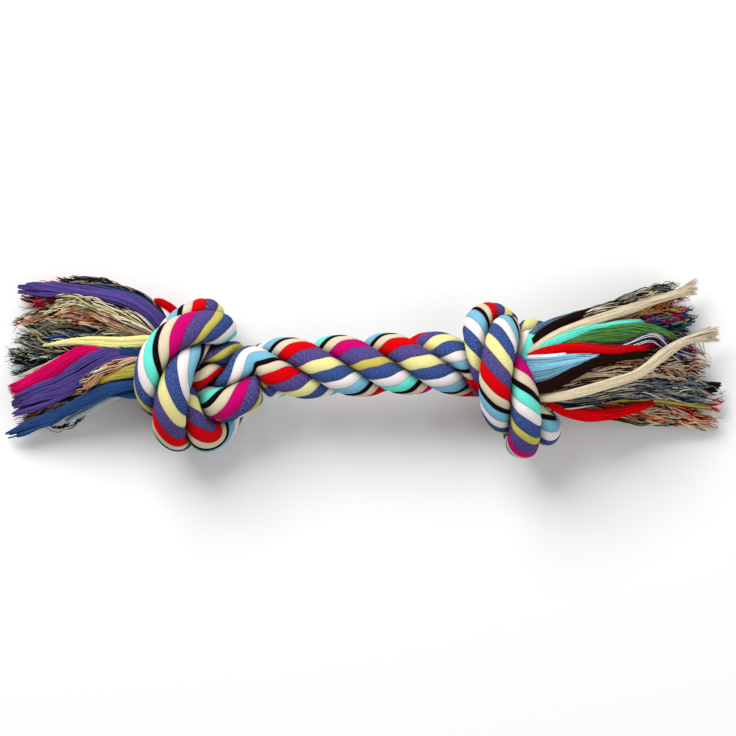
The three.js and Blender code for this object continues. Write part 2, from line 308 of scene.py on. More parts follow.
def strand_reach(angle):
    """From a strand's centre to its skin: an oval pressed flat against its neighbours."""
    out, sideways = np.cos(angle), np.sin(angle)
    reach = 1 / np.hypot(out / STRAND_HALF_DEPTH, sideways / STRAND_HALF_WIDTH)
    to_face = math.sin(WEDGE_ANGLE) * STRAND_CENTRE - STRAND_GAP / 2
    for side in (1, -1):
        lean = -math.sin(WEDGE_ANGLE) * out + side * math.cos(WEDGE_ANGLE) * sideways
        flat = np.where(lean > LEAST_LEAN, to_face / np.maximum(lean, LEAST_LEAN), reach)
        reach = np.minimum(reach, flat)
    return reach


# Share of the room on the inside of a bend that the skin may take up
BEND_SHARE = 0.85
# A higher number presses the skin with sharper edges
PRESS_EDGE = 7


def pressed(rope, i, offsets):
    """Pulls skin points towards the rope's axis until they lie clear of every other turn."""
    away = rope.points - rope.points[i]
    distance = np.abs(rope.distance - rope.distance[i])
    length = np.linalg.norm(away, axis=1)
    half = length ** 2 / 2
    room = np.where(distance < OWN_LENGTH, half * BEND_SHARE, half - TURN_GAP / 2 * length)
    used = distance > ROUTE_STEP
    lean = away[used] @ offsets.T
    keep = np.where(lean > 0, room[used, None] / np.where(lean > 0, lean, 1), np.inf).min(axis=0)
    return offsets * ((1 + keep ** -PRESS_EDGE) ** (-1 / PRESS_EDGE))[:, None]


# Skin between strands and turns lies in shade: by its distance from the axis in rope radii,
# and by the share of that distance that pressing leaves
CREVICE_MARKS = [(0.58, 0.4), (0.8, 1)]
PRESSED_MARKS = [(0.75, 0.45), (0.95, 1)]


def crevice_shade(offsets, kept):
    """How much light reaches skin at these offsets from the axis, before and after pressing."""
    free = np.linalg.norm(offsets, axis=1)
    share = np.linalg.norm(kept, axis=1) / free
    crevice = np.interp(free / ROPE_RADIUS, *zip(*CREVICE_MARKS))
    return crevice * np.interp(share, *zip(*PRESSED_MARKS))


# Columns of one sliver from groove to groove, and the light that reaches them
SLIVER_COLUMNS = np.array([0, 0.07, 0.2, 0.4, 0.6, 0.8, 0.93])
GROOVE_SHADES = np.array([0.66, 0.92, 1, 1, 1, 1, 0.92])
# A higher power makes a sliver's back flatter, and it is sunk by this share of its height
BULGE_POWER = 2.6
BULGE_SUNK = 0.72
# Each ring moves towards its neighbours by the first step and away by the second
EASE_ROUNDS = 24
EASE_STEPS = (0.5, -0.53)


def eased(rings):
    """Rounds the creases along a strand without thinning it, and keeps it above the floor."""
    for step in EASE_STEPS * EASE_ROUNDS:
        rings[1:-1] += step / 2 * (rings[2:] - 2 * rings[1:-1] + rings[:-2])
    rings[..., 2] = np.maximum(rings[..., 2], 0)
    return rings


# A strand's ends lie in the shade of the loose yarns
CAP_SHADE = (0.2, 0.2, 0.2, 1)

Strand = namedtuple("Strand", "rings shades colours turns lengths")


def make_strand(rope, number, slivers, passed, tied, height):
    """Rings of one strand, with columns that follow its slivers."""
    widths = np.array([width for _, width in slivers])
    widths = widths / widths.sum()
    edges = np.concatenate([[0], np.cumsum(widths)[:-1]])
    turns = (edges[:, None] + widths[:, None] * SLIVER_COLUMNS).ravel()
    colours = np.repeat(np.arange(len(slivers)), len(SLIVER_COLUMNS))
    bulge = np.tile(1 - np.abs(2 * SLIVER_COLUMNS - 1) ** BULGE_POWER, len(slivers)) - BULGE_SUNK
    lead = rope.phases + number * 2 * math.pi / STRAND_COUNT
    out = np.cos(lead)[:, None] * rope.normals + np.sin(lead)[:, None] * rope.binormals
    sideways = -np.sin(lead)[:, None] * rope.normals + np.cos(lead)[:, None] * rope.binormals
    lengths = along(rope.points + STRAND_CENTRE * out)
    marks = np.array(STRIPE_MARKS)
    pitch = np.interp(rope.distance, marks[:, 0] * ROPE_DIAMETER, marks[:, 1])
    twist = running(1 / pitch, lengths, rope.crown)
    twist += np.interp(rope.distance / ROPE_DIAMETER, *np.array(tied).T)
    rings, shades = [], []
    for i in range(len(rope.points)):
        angle = 2 * math.pi * (turns - twist[i] - passed)
        reach = strand_reach(angle) + height * bulge
        offsets = np.outer(STRAND_CENTRE + reach * np.cos(angle), out[i])
        offsets += np.outer(reach * np.sin(angle), sideways[i])
        kept = pressed(rope, i, offsets)
        rings.append(rope.points[i] + kept)
        shades.append(crevice_shade(offsets, kept))
    return Strand(eased(np.array(rings)), np.array(shades), colours, turns, lengths)


def new_object(name, vertices, faces):
    """Smooth mesh object at the origin."""
    mesh = bpy.data.meshes.new(name)
    mesh.from_pydata(vertices, [], faces)
    mesh.shade_smooth()
    piece = bpy.data.objects.new(name, mesh)
    bpy.context.scene.collection.objects.link(piece)
    return piece


def tube_faces(rows, columns):
    """Quads of a closed tube of rings, and its two end faces."""
    row, column = np.meshgrid(np.arange(rows - 1), np.arange(columns), indexing="ij")
    here = row * columns + column
    beside = row * columns + (column + 1) % columns
    quads = np.stack([here, beside, beside + columns, here + columns], axis=-1).reshape(-1, 4)
    start = np.arange(columns)[::-1]
    end = (rows - 1) * columns + np.arange(columns)
    return quads, start, end


def strand_piece(name, strand, palette):
    """Mesh of one strand, with its slivers' colours and a map along them."""
    rows, columns = strand.rings.shape[:2]
    quads, start, end = tube_faces(rows, columns)
    faces = quads.tolist() + [start.tolist(), end.tolist()]
    piece = new_object(name, strand.rings.reshape(-1, 3).tolist(), faces)
    mesh = piece.data
    # A groove lies in shade too, so the corners beside it are darker
    shade = strand.shades * np.tile(GROOVE_SHADES, columns // len(GROOVE_SHADES))
    after = np.roll(shade, -1, axis=1)
    colours = palette[strand.colours]
    corners = np.tile(colours[:, None], (rows - 1, 1, 4, 1))
    corners[..., :3] *= np.stack([shade[:-1], after[:-1], after[1:], shade[1:]], axis=-1)[..., None]
    caps = np.tile(colours * CAP_SHADE, (2, 1))
    store_colours(mesh, np.vstack([corners.reshape(-1, 4), caps]))
    u = np.concatenate([strand.turns, [1 + strand.turns[0]]]) * math.pi * STRAND_DIAMETER
    column = np.tile(np.arange(columns), rows - 1)
    row = np.repeat(np.arange(rows - 1), columns)
    us = np.stack([u[column], u[column + 1], u[column + 1], u[column]], axis=1)
    here, onwards = strand.lengths[row], strand.lengths[row + 1]
    vs = np.stack([here, here, onwards, onwards], axis=1)
    quad_map = np.stack([us, vs], axis=-1).reshape(-1, 2)
    cap_map = np.zeros((2 * columns, 2))
    uv = mesh.uv_layers.new(name="sliver_map")
    uv.data.foreach_set("uv", np.vstack([quad_map, cap_map]).astype(np.float32).ravel())
    return piece


def store_colours(mesh, colours, domain="CORNER"):
    """Keeps linear colours with the mesh for its material."""
    layer = mesh.color_attributes.new("cotton", "FLOAT_COLOR", domain)
    layer.data.foreach_set("color", colours.astype(np.float32).ravel())


# Heather is the share of paler fibres spun into a colour
PALE_FIBRE = "e1dde4"
HEATHER = {"purple": 0.6, "blue": 0.52}


def palette_of(names):
    """Linear colours of these cottons, with their heather as alpha."""
    colours = bpy.context.scene.rope_toy_colours
    return np.array([[*getattr(colours, name), HEATHER.get(name, 0)] for name in names])


# Tassels

# How the yarns of a lock behave. Wave and curl grow towards the tips, fray is how unevenly they end,
# clumping draws neighbours together, and twist is the turns from root to tip.
Spin = namedtuple("Spin", "wave curl fray clumping twist steps")
CARDED = Spin(wave=0.5 * MM, curl=0, fray=0.12, clumping=0.12, twist=0.12, steps=22)
PLIED = Spin(wave=0.9 * MM, curl=0.1 * MM, fray=0.16, clumping=0.45, twist=0.2, steps=24)
COMBED = Spin(wave=1.3 * MM, curl=0.15 * MM, fray=0.3, clumping=0.4, twist=0.2, steps=28)
LOOSE = Spin(wave=2.6 * MM, curl=0.4 * MM, fray=0.4, clumping=0.55, twist=0.3, steps=32)
STRAY = Spin(wave=4.5 * MM, curl=0.8 * MM, fray=0.1, clumping=0, twist=0.2, steps=40)

# A lock is a bunch of loose yarns that lie together. Its widths are those at the root, before the middle,
# near the tip and at the tip, and its points run from rope to tip, all in millimetres.
Lock = namedtuple("Lock", "spin yarns widths colours points")
LEFT_LOCKS = {
    "navy_yarns": [
        Lock(LOOSE, 120, (5, 6, 6, 5), ["navy", "black", "navy", "olive", "grey", "rust"], [
            (-98, 14, 24), (-104, 26, 28), (-114.5, 37, 28), (-135, 43, 21), (-159, 45.8, 12)]),
        Lock(CARDED, 60, (4, 5, 4, 2), ["scarlet"], [
            (-90, 17, 22), (-95, 26, 25), (-100, 32, 26), (-108, 35.5, 26)]),
        Lock(CARDED, 70, (5, 4, 3, 2), ["navy", "black"], [
            (-98, 14, 26), (-104, 27, 31), (-114, 35.5, 32), (-124, 39.5, 28), (-140, 42, 22)]),
        Lock(CARDED, 40, (4, 3, 2, 2), ["denim"], [
            (-100, 21, 29), (-112, 35.4, 33), (-124, 39.2, 30), (-140, 41.8, 24)]),
    ],
    "purple_sliver": [
        Lock(PLIED, 84, (8, 6.5, 7.5, 6), ["lavender"], [
            (-98, 12, 28), (-104, 24, 34), (-114.5, 33.5, 35), (-135, 38.4, 29), (-155, 40, 21),
            (-180, 42.5, 12)]),
        Lock(LOOSE, 150, (5, 8, 11, 11), ["scarlet", "pink", "peach", "black", "pink", "rust"], [
            (-108, 10, 30), (-120, 24, 28), (-138, 38, 19), (-160, 41, 12), (-178, 36, 7)]),
    ],
    "peach_core": [
        Lock(LOOSE, 80, (3, 6, 7, 6), ["yellow", "cream", "cream", "olive", "brown"], [
            (-104, 14, 38), (-112, 22, 42), (-120, 27, 40), (-133, 31.5, 33), (-146, 33.5, 27),
            (-157, 33.5, 23), (-166, 28, 19)]),
        Lock(LOOSE, 120, (4, 8, 8, 4),
             ["peach", "rust", "grey", "brown", "olive", "rust", "cream", "black"], [
            (-104, 12, 42), (-110, 18, 45), (-125, 21.5, 41), (-140, 26, 32), (-152, 27.5, 26),
            (-164, 24.5, 19), (-182, 22.5, 10)]),
        Lock(LOOSE, 34, (2, 4, 4, 4), ["black", "cream", "olive", "grey"], [
            (-106, 14, 45), (-118, 17.5, 44), (-130, 18.5, 39), (-142, 15.5, 32), (-152, 15, 27)]),
    ],
    "yellow_sliver": [
        Lock(CARDED, 120, (6, 6, 2.2, 1.2), ["yellow"], [
            (-102, 12, 46), (-108, 14.5, 51), (-122.6, 12.2, 51), (-137, 13.8, 43),
            (-149, 13.4, 36), (-165.5, 11.8, 26)]),
    ],
    "magenta_sliver": [
        Lock(CARDED, 200, (5, 8, 8.5, 9.5), ["pink"], [
            (-112, 8, 44), (-124, 11, 46), (-135, 11.4, 43), (-145, 8.4, 37), (-155.3, 1.8, 29),
            (-165.6, -4.6, 21), (-183, -13, 11)]),
        Lock(CARDED, 34, (2, 2.5, 2.5, 2), ["cream"], [
            (-112, 8, 40), (-126, 12, 41), (-138, 11.8, 36), (-150, 7.8, 29), (-162, 1.6, 20),
            (-179, -4, 11)]),
    ],
    "plum_sliver": [
        Lock(PLIED, 130, (8, 13, 12, 10), ["lavender"], [
            (-108, 4, 46), (-116, 7.5, 49), (-124.6, 9, 48), (-135, 4, 43), (-145, -3, 36),
            (-155.3, -9.2, 29), (-165.6, -14.3, 22), (-183, -21, 12)]),
    ],
    "black_core": [
        Lock(LOOSE, 180, (6, 9, 12, 13), ["black", "grey", "olive", "black", "navy", "cream"], [
            (-112, 12, 30), (-130, 14, 28), (-148, 14, 22), (-163, 15.5, 15), (-172, 17.5, 10),
            (-180, 19.5, 7)]),
        Lock(CARDED, 50, (4, 4, 3.5, 3), ["denim"], [
            (-110, 12, 34), (-124, 17, 31), (-138, 17, 26), (-152, 16.4, 22), (-166, 14, 16)]),
    ],
    "rust_core": [
        Lock(LOOSE, 180, (6, 12, 14, 13), ["rust", "black", "olive", "pink", "peach", "black"], [
            (-110, 14, 30), (-130, 22, 25), (-150, 30, 16), (-168, 33, 8), (-178, 32, 5)]),
    ],
    "grey_core": [
        Lock(LOOSE, 180, (8, 14, 15, 13), ["black", "grey", "navy", "black", "olive"], [
            (-112, 8, 26), (-135, 12, 20), (-158, 12, 11), (-177, 9, 6)]),
    ],
    "teal_core": [
        Lock(LOOSE, 130, (6, 8, 8, 7), ["black", "teal", "cream", "black", "olive", "black"], [
            (-114, 6, 26), (-135, 9.5, 22), (-155, 8, 15), (-170, 6, 9), (-186, 7, 5)]),
        Lock(LOOSE, 110, (5, 7, 8, 7), ["black", "black", "navy", "teal"], [
            (-112, 3, 24), (-130, 8, 19), (-158, 4, 11), (-184, 0.5, 5)]),
        Lock(LOOSE, 130, (6, 9, 7, 6), ["black", "black", "navy", "orange", "cream"], [
            (-114, -4, 30), (-130, -9, 28), (-145, -13.5, 22), (-160.5, -20.5, 14),
            (-172.7, -24.5, 9), (-181, -28, 6)]),
    ],
    "mustard_sliver": [
        Lock(CARDED, 130, (9, 6.5, 2.5, 1.5), ["mustard"], [
            (-106, 1, 46), (-115, -0.5, 50), (-124.6, -3.1, 46), (-137, -7.4, 38)]),
        Lock(LOOSE, 70, (3, 4.5, 4, 3), ["peach", "orange", "cream", "rust", "black"], [
            (-108, 6, 48), (-115.4, 5.2, 51), (-125.6, 2.4, 48), (-136, -2.2, 44), (-141, -7.2, 38),
            (-149, -14.5, 30)]),
    ],
    "blue_sliver": [
        Lock(PLIED, 84, (6, 6, 6.5, 3.5), ["denim"], [
            (-104, -6, 40), (-114.4, -7.2, 47), (-129.7, -9.9, 41), (-145, -17.1, 32),
            (-160.5, -25.6, 21), (-175.8, -31.7, 12), (-185.5, -34.6, 6)]),
        Lock(CARDED, 70, (4, 4, 3, 1.5), ["sky", "white"], [
            (-116, -10, 40), (-128, -14, 35), (-138, -19, 27), (-155, -28, 16)]),
        Lock(CARDED, 90, (8, 7, 4, 2), ["denim"], [
            (-102, -11, 34), (-112, -12.6, 42), (-122, -12.4, 40), (-133, -13, 34)]),
        Lock(CARDED, 50, (5, 5, 4, 3), ["denim"], [
            (-108, 5, 48), (-114, 7.5, 51), (-125, 9.8, 50)]),
        Lock(LOOSE, 12, (2, 2, 2, 1), ["black"], [
            (-112, -6, 36), (-126, -11, 33), (-136, -15, 27), (-143, -21.5, 21), (-150, -27.5, 13),
            (-159.5, -30, 7), (-161.5, -27, 7)]),
    ],
}
RIGHT_LOCKS = {
    "brown_sliver": [
        Lock(CARDED, 90, (5, 5, 2.5, 1.5), ["brown"], [
            (82, 6, 44), (88, 14, 50), (94, 19.6, 51), (104.4, 24.8, 47), (116.6, 28.8, 41),
            (127.6, 32.3, 36), (141, 37, 29)]),
        Lock(CARDED, 44, (4, 3, 2, 1), ["steel", "sky"], [
            (80, 8, 42), (84, 16, 46), (91, 22, 47), (101, 25.8, 43), (113, 29, 36)]),
        Lock(LOOSE, 190, (3, 7, 7, 7), ["olive", "black", "grey", "cream", "brown"], [
            (100, 20, 44), (110, 24.6, 44), (122, 29.6, 40), (133, 33, 34), (148.6, 37, 25),
            (163, 40.4, 15)]),
    ],
    "cream_sliver": [
        Lock(CARDED, 130, (5, 4.6, 4, 9), ["cream"], [
            (82, 4, 46), (87, 9, 52), (92.3, 13.5, 54), (102, 19, 54), (115.5, 23.8, 49),
            (130, 28.3, 43), (146.4, 33.5, 34), (162, 38.8, 23), (174, 42.6, 15)]),
    ],
    "green_sliver": [
        Lock(CARDED, 80, (4.5, 4, 2.6, 2), ["turquoise"], [
            (86, 7, 50), (93.4, 11.2, 56), (102, 15.8, 57), (113.3, 19.6, 52), (126.5, 22.3, 46),
            (144, 24, 38)]),
        Lock(COMBED, 200, (4, 9, 9, 9), ["green", "green", "green", "olive", "teal"], [
            (88, 7, 50), (95.6, 11.2, 55), (108.8, 15.4, 54), (124.3, 17.4, 48), (138.7, 19.4, 41),
            (151, 16.4, 33), (164, 9, 22)]),
    ],
    "red_sliver": [
        Lock(CARDED, 130, (4, 5.4, 3, 2), ["scarlet"], [
            (84, 5, 50), (90.6, 8.2, 57), (101, 10.2, 60), (112.2, 10.4, 58), (124.3, 8.6, 53),
            (137.6, 10, 45), (148, 12, 38)]),
        Lock(LOOSE, 60, (3, 4, 6, 8), ["pink", "brown", "navy", "scarlet"], [
            (124, 8, 50), (138, 10.5, 44), (150, 13, 35), (164, 12, 24), (173, 9, 16)]),
        Lock(COMBED, 44, (3, 5, 6, 9), ["white", "navy", "purple", "brown", "navy", "white"], [
            (122, 8, 44), (133, 10, 44), (144.5, 16.5, 44), (151.5, 14.5, 39), (158, 8, 32),
            (171, 6, 20)]),
    ],
    "sky_sliver": [
        Lock(CARDED, 220, (16, 11, 3.5, 1.5), ["powder", "powder", "powder", "sky", "steel"], [
            (81, -2, 48), (86, -0.8, 55), (93.4, 0.4, 60), (104.4, 3.8, 60), (120, 6.9, 54)]),
        Lock(CARDED, 34, (3, 2.4, 1.5, 1), ["white"], [
            (81, 4.5, 48), (86, 5.4, 56), (94, 6.4, 60), (103, 7, 60)]),
    ],
    "ivory_sliver": [
        Lock(CARDED, 150, (4.5, 5, 5, 10), ["cream"], [
            (86, -14, 46), (91.7, -15.6, 53), (102.2, -14.3, 57), (115.5, -10.8, 56),
            (127.6, -7.4, 53), (139.8, -3.8, 49), (147.5, 2.3, 45), (156.4, 9.5, 40),
            (167.4, 15.3, 31), (184, 18.4, 18)]),
    ],
    "grey_core": [
        Lock(LOOSE, 100, (4, 5, 6, 7), ["orange", "peach", "orange", "rust", "brown"], [
            (100, 14, 44), (118, 22, 40), (132, 26.1, 36), (146.4, 30.5, 28), (157.5, 33.2, 21),
            (169, 35.6, 14)]),
        Lock(LOOSE, 80, (5, 8, 8, 7), ["black", "grey", "olive", "cream"], [
            (98, 11, 38), (112, 20, 36), (135, 30, 27), (155, 36.5, 16), (165, 40, 9)]),
        Lock(LOOSE, 120, (9, 12, 12, 10), ["black", "grey", "brown", "olive"], [
            (97, 9, 33), (108, 13, 31), (126, 24, 20), (148, 32, 9), (166, 37, 4)]),
    ],
    "orange_core": [
        Lock(LOOSE, 110, (4, 7, 8, 9), ["lavender", "grey", "purple", "black", "scarlet"], [
            (100, 10, 42), (118, 18, 39), (133.2, 24.4, 33), (148.6, 27.2, 25), (164, 29, 16),
            (172, 28, 10)]),
        Lock(LOOSE, 80, (5, 7, 8, 8), ["navy", "turquoise", "black", "teal"], [
            (99, 8, 38), (118, 17, 36), (146.4, 22.7, 25), (159.7, 22.7, 17), (172, 22.4, 10)]),
        Lock(LOOSE, 120, (9, 12, 12, 11), ["purple", "grey", "black", "navy"], [
            (97, 5, 30), (108, 8, 28), (128, 17, 18), (150, 23, 8), (170, 25, 4)]),
    ],
    "plum_core": [
        Lock(LOOSE, 130, (8, 12, 13, 14), ["black", "purple", "olive", "grey", "navy"], [
            (100, 6, 42), (125, 12, 35), (150, 14, 23), (173, 10, 10)]),
        Lock(LOOSE, 80, (5, 8, 10, 10), ["olive", "grey", "cream", "green"], [
            (100, 7, 40), (125, 14, 36), (148, 15, 27), (164, 9, 18), (178, 7, 9)]),
        Lock(LOOSE, 120, (9, 12, 13, 12), ["black", "purple", "olive", "navy"], [
            (97, 1, 29), (108, 2, 27), (128, 8, 17), (152, 10, 7), (172, 9, 4)]),
    ],
    "umber_core": [
        Lock(LOOSE, 270, (4, 10, 15, 17), ["cream", "brown", "peach", "brown", "rust", "cream"], [
            (90, -11, 46), (98, -9.5, 53), (108.8, -4.9, 53), (124.3, -0.5, 47), (142, -1, 37),
            (157.5, 0.1, 27), (178, -1, 12)]),
        Lock(LOOSE, 120, (9, 12, 13, 12), ["brown", "cream", "rust", "brown"], [
            (97, -3, 30), (108, -4, 28), (128, -2, 18), (152, -2, 8), (176, -3, 4)]),
        Lock(CARDED, 130, (5, 6, 3.5, 2), ["brown"], [
            (84, -10, 48), (88.4, -11.3, 55), (98.9, -7.5, 59), (108.8, -1, 59), (118.8, 3.9, 55),
            (131, 5.8, 49), (146, 7, 40)]),
    ],
    "navy_core": [
        Lock(LOOSE, 280, (8, 8, 12, 13), ["navy", "grey", "steel", "black", "cream", "black", "grey"], [
            (94, -15, 46), (100, -18, 48), (115.5, -16, 47), (130, -11, 43), (146.4, -11, 34),
            (164, -11, 23), (185, -11.5, 10)]),
        Lock(LOOSE, 120, (9, 12, 13, 12), ["navy", "grey", "black", "steel"], [
            (97, -7, 32), (108, -10, 30), (128, -12, 19), (152, -12, 8), (181, -12, 4)]),
        Lock(CARDED, 70, (2, 3, 5, 6), ["black"], [
            (130, -11, 40), (150, -11, 30), (160, -10, 23), (172, -9.5, 16), (186, -10.5, 9)]),
    ],
    "scarlet_sliver": [
        Lock(CARDED, 180, (5, 7, 4, 2.5), ["scarlet"], [
            (90, -13, 44), (95.6, -17.6, 48), (103.3, -22.2, 47), (116.6, -25, 42),
            (131, -23.4, 35), (150, -17.2, 26)]),
        Lock(LOOSE, 260, (5, 11, 15, 15),
             ["rust", "cream", "olive", "brown", "peach", "scarlet", "black", "cream"], [
            (97, -10, 36), (108, -16, 34), (124, -21, 28), (142, -22, 21), (157.5, -23.1, 15),
            (174, -24.8, 9), (185, -27, 6)]),
        Lock(CARDED, 34, (2, 2, 2, 2), ["mustard"], [
            (98, -10, 42), (120, -17, 37), (140, -16, 30), (150, -16.5, 25), (163, -17.6, 19),
            (181, -21, 11)]),
        Lock(LOOSE, 56, (2, 3, 6, 7), ["scarlet", "scarlet", "pink"], [
            (98, -9, 40), (124, -15, 34), (148, -15, 25), (170, -15.5, 15), (188, -18, 8)]),
    ],
}
Tassel = namedtuple("Tassel", "locks half body root way seed")
TASSELS = {
    "left": Tassel(
        LEFT_LOCKS, "left_half", "left_tassel",
        root=LEFT_KNOT + ROPE_DIAMETER * np.array(LEFT_ROUTE[0]), way=-1, seed=4),
    "right": Tassel(
        RIGHT_LOCKS, "right_half", "right_tassel",
        root=RIGHT_KNOT + ROPE_DIAMETER * np.array(RIGHT_ROUTE[-1]), way=1, seed=5),
}
# Added to a tassel's seed for its stray threads
STRAY_SEED = 20

# Where along a lock its widths hold. A wide lock is flatter than a narrow one.
WIDTH_MARKS = (0, 0.4, 0.87, 1)
THICKNESS_LEAST = 1.6
THICKNESS_SHARE = 0.3
# Curve points for each span of a lock, and for the whole of it
LOCK_SPAN = 12
LOCK_STEPS = 90
# Yarns crowd to the rim of a lock, and so do the clumps they gather in
YARN_CROWDING = 1.5
CLUMP_CROWDING = 1.2
YARNS_IN_CLUMP = 14
LEAST_CLUMPS = 3
CLUMPING_POWER = 1.3
GOLDEN_ANGLE = math.pi * (3 - math.sqrt(5))
# Shares of the fray that shorten a whole clump and a single yarn. A higher power shortens fewer.
CLUMP_FRAY = 0.6
CLUMP_FRAY_POWER = 1.5
YARN_FRAY = 0.5
YARN_FRAY_POWER = 2
# Waves: of a clump, of each yarn as a share of it, and how much of both goes up and down
WAVE_LENGTH = 48 * MM
YARN_WAVE = 0.45
YARN_WAVE_LENGTH = WAVE_LENGTH / 2
WAVE_RISE = 0.6
# A wave is a long swing and a finer one, as pace and size. Paces differ from yarn to yarn.
WAVE_PARTS = [(1, 0.75), (2.3, 0.25)]
WAVE_PACE_LEAST = 0.7
WAVE_PACE_SPREAD = 0.6
# Curls: length of one turn, and where along a yarn they are full. A higher power curls fewer.
CURL_LENGTH = 15 * MM
CURL_FULL_AT = 0.5
CURL_POWER = 2
CURL_PACE_LEAST = 0.6
CURL_PACE_SPREAD = 0.8
# A yarn is a tube with this many sides, thinner at its tip
YARN_SIDES = 4
TAPER_MARKS = [(0, 1), (0.94, 1), (1, 0.5)]
# Shades of single yarns
SHADE_LEAST = 0.72
SHADE_SPREAD = 0.5


def disc(count, crowding):
    """Points spread over a disc of radius one; more crowding moves them to the rim."""
    spread = ((np.arange(count) + 0.5) / count) ** (0.5 / crowding)
    turn = np.arange(count) * GOLDEN_ANGLE
    return np.stack([spread * np.cos(turn), spread * np.sin(turn)], axis=1)


def waver(count, share, length, wavelength, rng):
    """Smooth random swing of each of count yarns, about one at most."""
    swing = 0
    for finer, size in WAVE_PARTS:
        varied = WAVE_PACE_LEAST + WAVE_PACE_SPREAD * rng.random((count, 1))
        pace = finer * length / wavelength * varied
        swing = swing + size * np.sin(2 * math.pi * (pace * share + rng.random((count, 1))))
    return swing


def lock_yarns(lock, rng):
    """Centre lines of a lock's yarns, and the number of each one's colour."""
    spin, count = lock.spin, lock.yarns
    path = spline(np.array(lock.points, float) * MM, LOCK_SPAN)
    length = along(path)[-1]
    path = resample(path, np.linspace(0, length, LOCK_STEPS))
    tangents = unit(np.gradient(path, axis=0))
    sides = unit(np.cross(UP, tangents))
    ups = np.cross(tangents, sides)
    places = disc(count, YARN_CROWDING)
    clumps = disc(max(LEAST_CLUMPS, count // YARNS_IN_CLUMP), CLUMP_CROWDING)
    clump = np.argmin(np.linalg.norm(places[:, None] - clumps[None], axis=2), axis=1)
    reach = (1 - spin.fray * CLUMP_FRAY * rng.random(len(clumps)) ** CLUMP_FRAY_POWER)[clump]
    reach *= 1 - spin.fray * YARN_FRAY * rng.random(count) ** YARN_FRAY_POWER
    share = np.linspace(0, 1, spin.steps) * reach[:, None] / reach.max()
    drawn = (spin.clumping * share ** CLUMPING_POWER)[..., None]
    place = places[:, None] * (1 - drawn) + clumps[clump][:, None] * drawn
    angle = 2 * math.pi * spin.twist * share
    across = place[..., 0] * np.cos(angle) - place[..., 1] * np.sin(angle)
    over = place[..., 0] * np.sin(angle) + place[..., 1] * np.cos(angle)
    width = np.interp(share, WIDTH_MARKS, lock.widths)
    thickness = np.minimum(width, THICKNESS_LEAST + THICKNESS_SHARE * width)
    swings = []
    for _ in range(2):
        swing = waver(len(clumps), share[:len(clumps)], length, WAVE_LENGTH, rng)[clump]
        swing = swing + YARN_WAVE * waver(count, share, length, YARN_WAVE_LENGTH, rng)
        swings.append(spin.wave * swing * share)
    pace = length / CURL_LENGTH * (CURL_PACE_LEAST + CURL_PACE_SPREAD * rng.random((count, 1)))
    turn = 2 * math.pi * (pace * share + rng.random((count, 1)))
    curl = spin.curl * rng.random((count, 1)) ** CURL_POWER * np.minimum(1, share / CURL_FULL_AT)
    across = across * width * MM / 2 + swings[0] + curl * np.cos(turn)
    over = over * thickness * MM / 2 + WAVE_RISE * swings[1] + curl * np.sin(turn)
    at = share * (LOCK_STEPS - 1)
    centre, side, up = (
        np.stack([np.interp(at, np.arange(LOCK_STEPS), axis) for axis in values.T], axis=-1)
        for values in (path, sides, ups))
    lines = centre + side * across[..., None] + up * over[..., None]
    return lines, rng.integers(0, len(lock.colours), count)


def yarn_mesh(lines, diameter):
    """Vertices and quads of one closed tube along each line."""
    count, steps = lines.shape[:2]
    lines[..., 2] = np.maximum(lines[..., 2], diameter / 2)
    tangents = unit(np.gradient(lines, axis=1) + NEAR_ZERO * MM)
    side = unit(np.cross(UP, tangents) + NEAR_ZERO)
    up = np.cross(tangents, side)
    angle = np.arange(YARN_SIDES) * 2 * math.pi / YARN_SIDES
    taper = np.interp(np.linspace(0, 1, steps), *zip(*TAPER_MARKS)) * diameter / 2
    ring = side[:, :, None] * np.cos(angle)[:, None] + up[:, :, None] * np.sin(angle)[:, None]
    vertices = lines[:, :, None] + ring * taper[:, None, None]
    walls, start, end = tube_faces(steps, YARN_SIDES)
    quads = np.vstack([walls, start[None], end[None]])
    firsts = np.arange(count) * steps * YARN_SIDES
    return vertices.reshape(-1, 3), (firsts[:, None, None] + quads).reshape(-1, 4)


def yarn_piece(name, locks, diameters, rng):
    """One object of all the yarns of these locks, each yarn with its own shade."""
    vertices, faces, colours = [], [], []
    for lock in locks:
        lines, numbers = lock_yarns(lock, rng)
        points, quads = yarn_mesh(lines, diameters[lock.spin])
        faces.append(quads + sum(len(part) for part in vertices))
        vertices.append(points)
        shades = palette_of(lock.colours)[numbers]
        shades[:, :3] *= SHADE_LEAST + SHADE_SPREAD * rng.random((len(shades), 1))
        colours.append(np.repeat(shades, len(points) // len(lines), axis=0))
    piece = new_object(name, np.vstack(vertices).tolist(), np.vstack(faces).tolist())
    store_colours(piece.data, np.clip(np.vstack(colours), 0, 1), "POINT")
    return piece


# Materials

def add_node(tree, kind, inputs=None, **settings):
    """Adds a node with these settings; an input is a value or another node's output socket."""
    node = tree.nodes.new(kind)
    for key, value in settings.items():
        setattr(node, key, value)
    for key, value in (inputs or {}).items():
        if isinstance(value, bpy.types.NodeSocket):
            tree.links.new(value, node.inputs[key])
        else:
            node.inputs[key].default_value = value
    return node


def new_material(name):
    """Empty material and its node tree."""
    material = bpy.data.materials.new(name)
    material.use_nodes = True
    material.node_tree.nodes.clear()
    return material, material.node_tree


# Fibres are drawn about 0.35 mm wide and 1 mm long, coarser than real ones so that they show
FIBRE_WIDTH = MM / 2.9
FIBRE_LENGTH = 1 * MM
FIBRE_DEPTH = 0.25 * MM
# Loose yarn is uneven in patches of this size
PATCH_SIZE = 2 * MM


